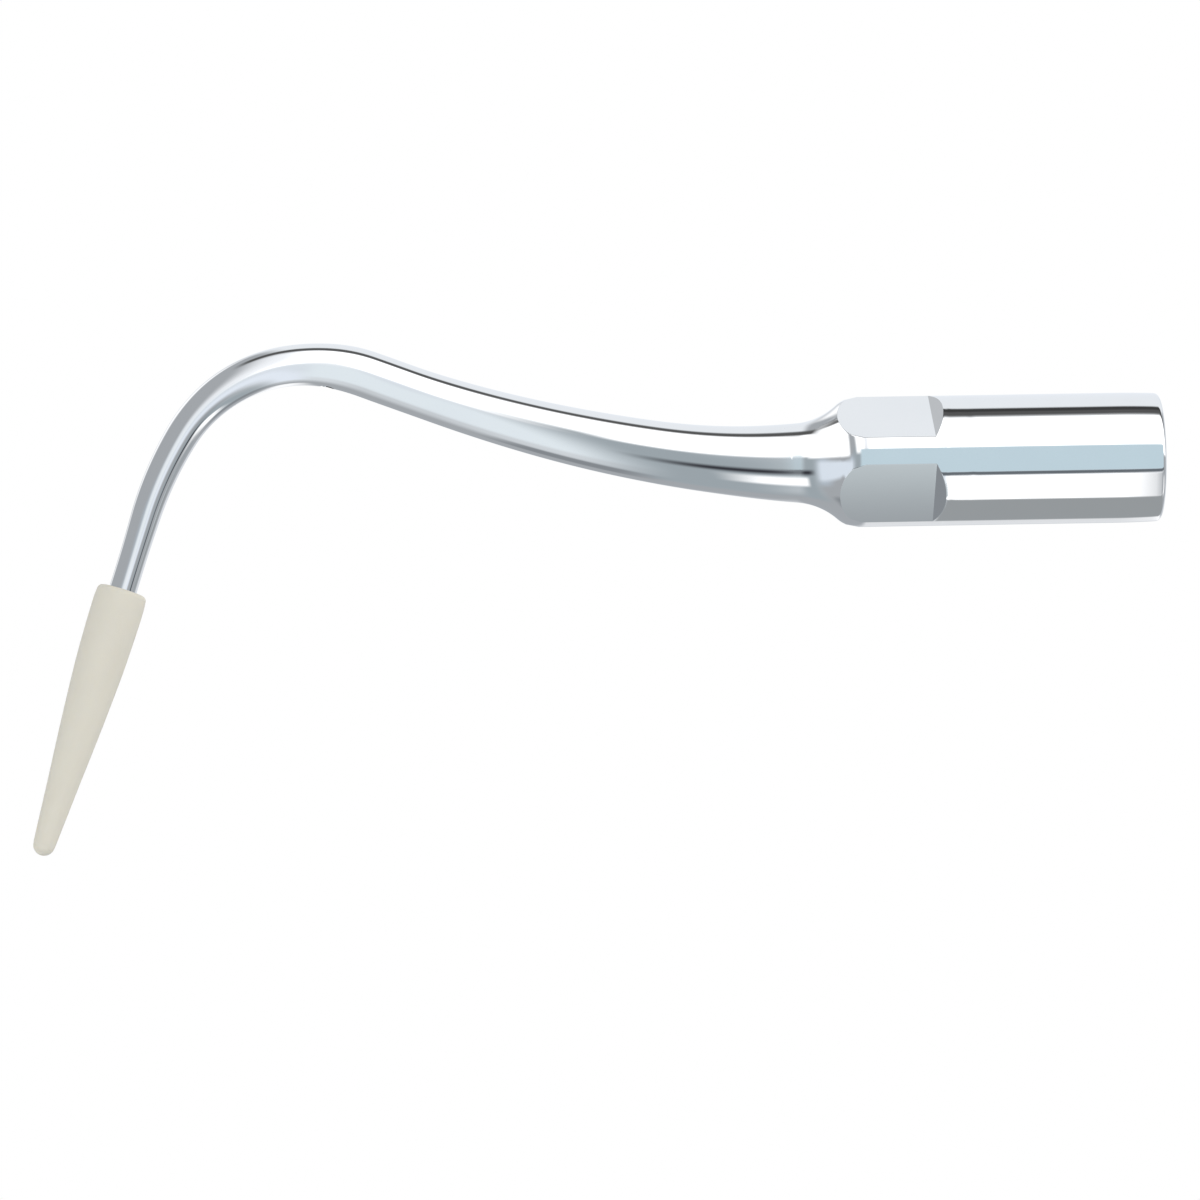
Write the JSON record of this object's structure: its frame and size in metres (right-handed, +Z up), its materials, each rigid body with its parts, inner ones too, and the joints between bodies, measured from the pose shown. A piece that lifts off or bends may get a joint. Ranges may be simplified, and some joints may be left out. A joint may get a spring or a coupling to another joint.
{
  "type": "ultrasonic scaler tip",
  "caption": "Bent steel ultrasonic scaler tip with a threaded hub, wrench flats, an S-shaped tapering shank and a replaceable tapered plastic sleeve on its working end.",
  "frame": {"origin": "centre of the hub's mouth, on the hub's axis", "axes": "+X out of the mouth along the hub's axis, +Z up, with the working end pointing down at the -X end; the tip bends in the XZ plane"},
  "size_m": [0.044, 0.005, 0.0195],
  "materials": {
    "polished_steel": "polished stainless steel, mirror-like",
    "peek": "matt ivory plastic, fine moulded skin"
  },
  "bodies": {
    "tip": {"tip_body": "polished_steel"},
    "sleeve": {"peek_sleeve": "peek"}
  },
  "joints": [
    {"name": "sleeve_pull", "type": "slide", "parent": "tip", "child": "sleeve", "axis": [-0.3173, 0, -0.9483], "range_m": [0, 0.008]}
  ]
}
